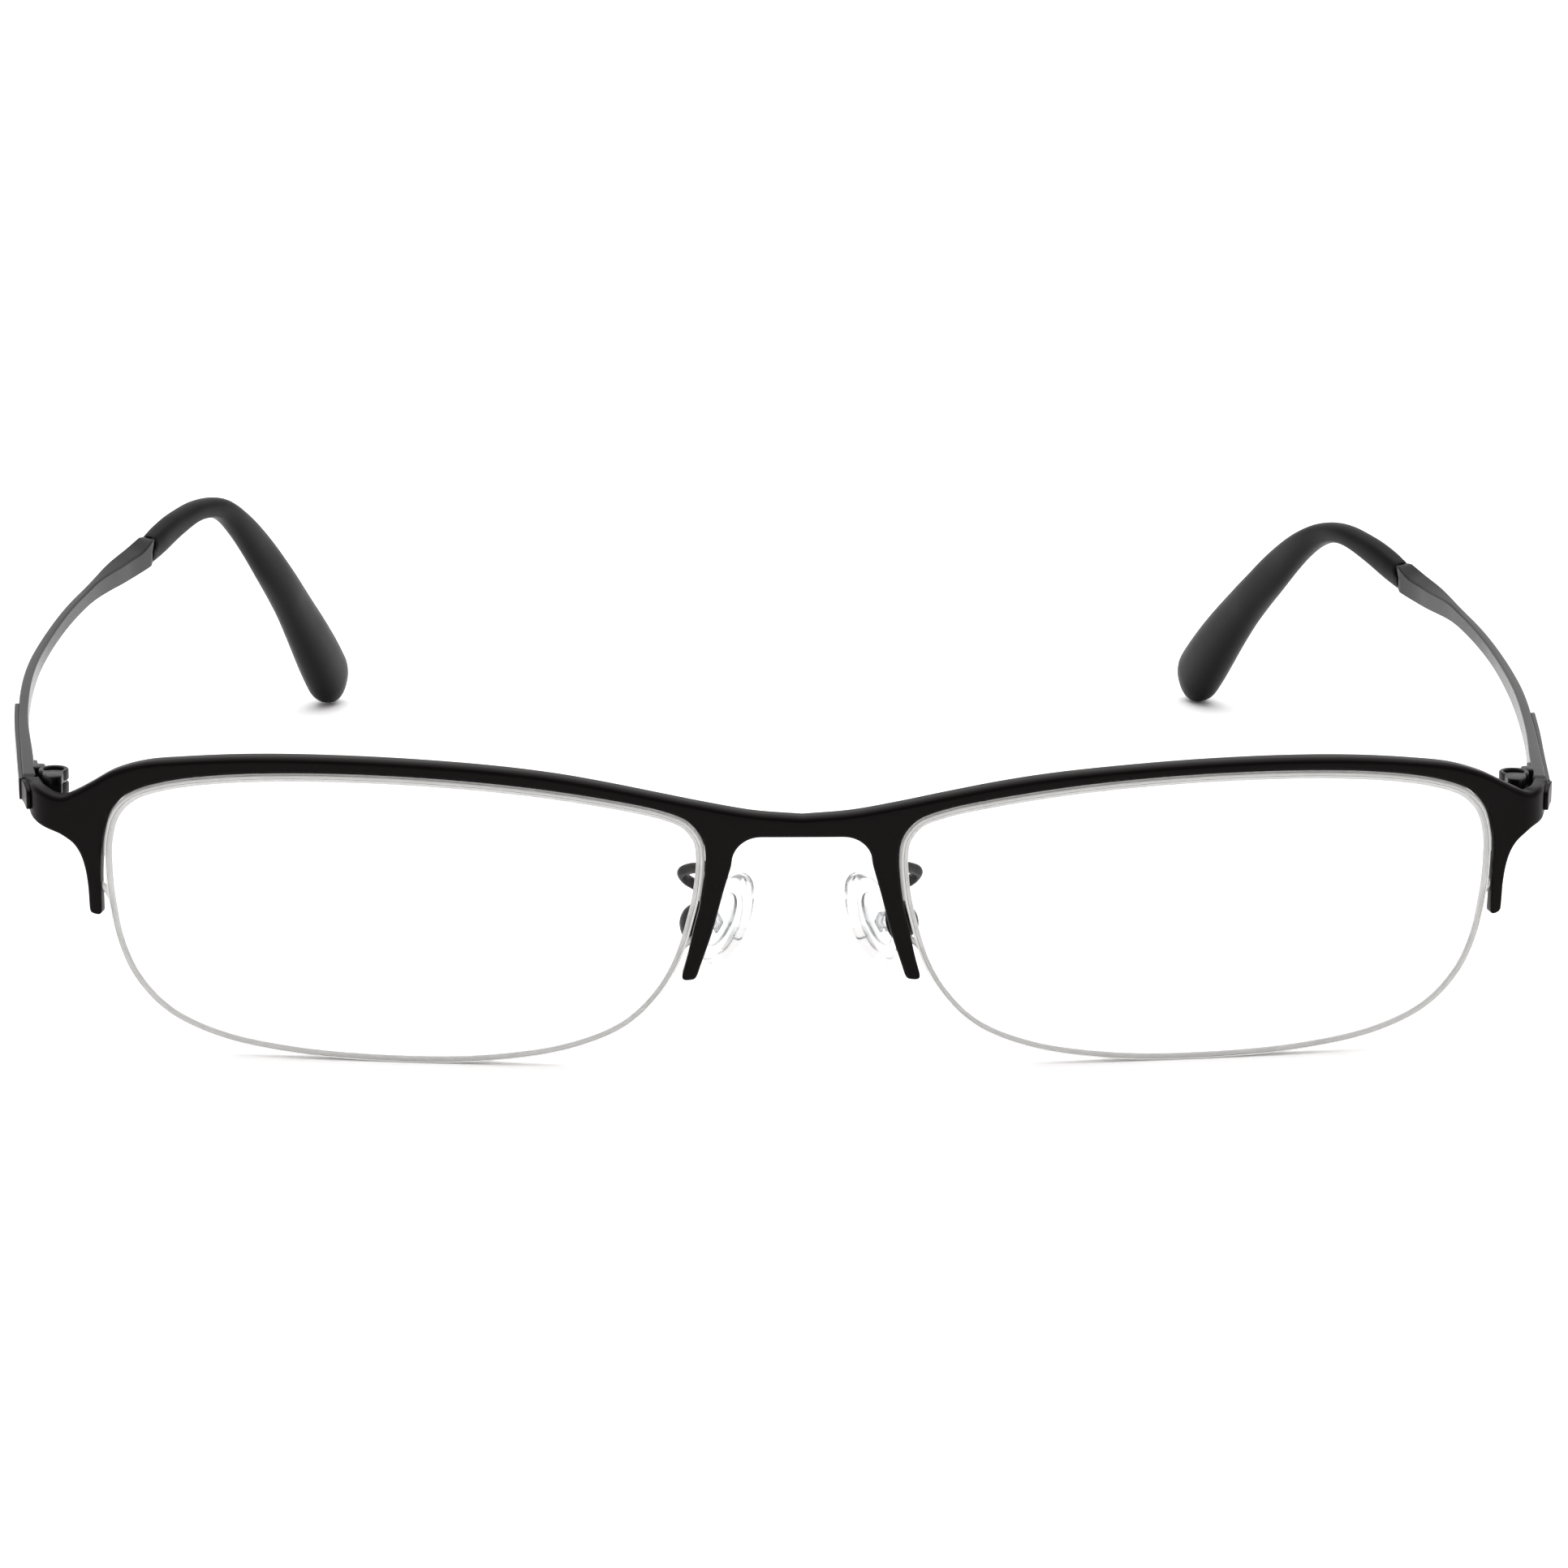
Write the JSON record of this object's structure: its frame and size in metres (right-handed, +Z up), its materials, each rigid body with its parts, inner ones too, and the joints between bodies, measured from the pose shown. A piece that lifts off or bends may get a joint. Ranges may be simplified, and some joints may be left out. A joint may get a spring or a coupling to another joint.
{
  "type": "half rim eyeglasses",
  "caption": "Half rim eyeglasses with a black metal brow bar, clear lenses hung on nylon cords, folding slim temples and clear nose pads.",
  "frame": {"origin": "middle of the underside of the whole object's box, on the table", "axes": "+Z up, the wearer faces -Y, the temples run back along +Y, the wearer's left is +X"},
  "size_m": [0.1444, 0.1416, 0.0301],
  "materials": {
    "black_metal": "satin black lacquer",
    "grey_metal": "satin gunmetal",
    "steel": "darkened steel",
    "lens": "clear, uncoloured, polished",
    "nylon": "clear nylon",
    "clear_silicone": "clear soft plastic",
    "smoky_plastic": "clear grey plastic",
    "black_plastic": "matte black"
  },
  "bodies": {
    "front": {"front_frame": "black_metal", "lens_right": "lens", "rim_liner_right": "nylon", "nylon_cord_right": "nylon", "hinge_front_leaf_right": "grey_metal", "hinge_screw_right": "steel", "hinge_washer_lower_right": "nylon", "hinge_washer_upper_right": "nylon", "pad_arm_right": "black_metal", "pad_box_right": "black_metal", "pad_screw_right": "steel", "lens_left": "lens", "rim_liner_left": "nylon", "nylon_cord_left": "nylon", "hinge_front_leaf_left": "grey_metal", "hinge_screw_left": "steel", "hinge_washer_lower_left": "nylon", "hinge_washer_upper_left": "nylon", "pad_arm_left": "black_metal", "pad_box_left": "black_metal", "pad_screw_left": "steel"},
    "left_temple": {"temple_left": "grey_metal", "temple_plate_left": "grey_metal", "temple_tip_left": "black_plastic", "hinge_temple_leaf_left": "grey_metal"},
    "right_temple": {"temple_right": "grey_metal", "temple_plate_right": "grey_metal", "temple_tip_right": "black_plastic", "hinge_temple_leaf_right": "grey_metal"},
    "left_pad": {"nose_pad_left": "clear_silicone", "pad_core_left": "smoky_plastic"},
    "right_pad": {"nose_pad_right": "clear_silicone", "pad_core_right": "smoky_plastic"}
  },
  "joints": [
    {"name": "temple_fold_left", "type": "hinge", "parent": "front", "child": "left_temple", "pos_m": [0.06665, -0.05774, 0.0235], "axis": [0, 0, 1], "range_deg": [0, 82]},
    {"name": "temple_fold_right", "type": "hinge", "parent": "front", "child": "right_temple", "pos_m": [-0.06635, -0.05754, 0.0241], "axis": [0, 0, -1], "range_deg": [0, 75]},
    {"name": "pad_rock_left", "type": "hinge", "parent": "front", "child": "left_pad", "pos_m": [0.01054, -0.06182, 0.01229], "axis": [-0.3478, -0.8194, -0.4557], "range_deg": [-8, 8]},
    {"name": "pad_rock_right", "type": "hinge", "parent": "front", "child": "right_pad", "pos_m": [-0.00804, -0.06182, 0.01229], "axis": [0.3478, -0.8194, -0.4557], "range_deg": [-8, 8]}
  ]
}
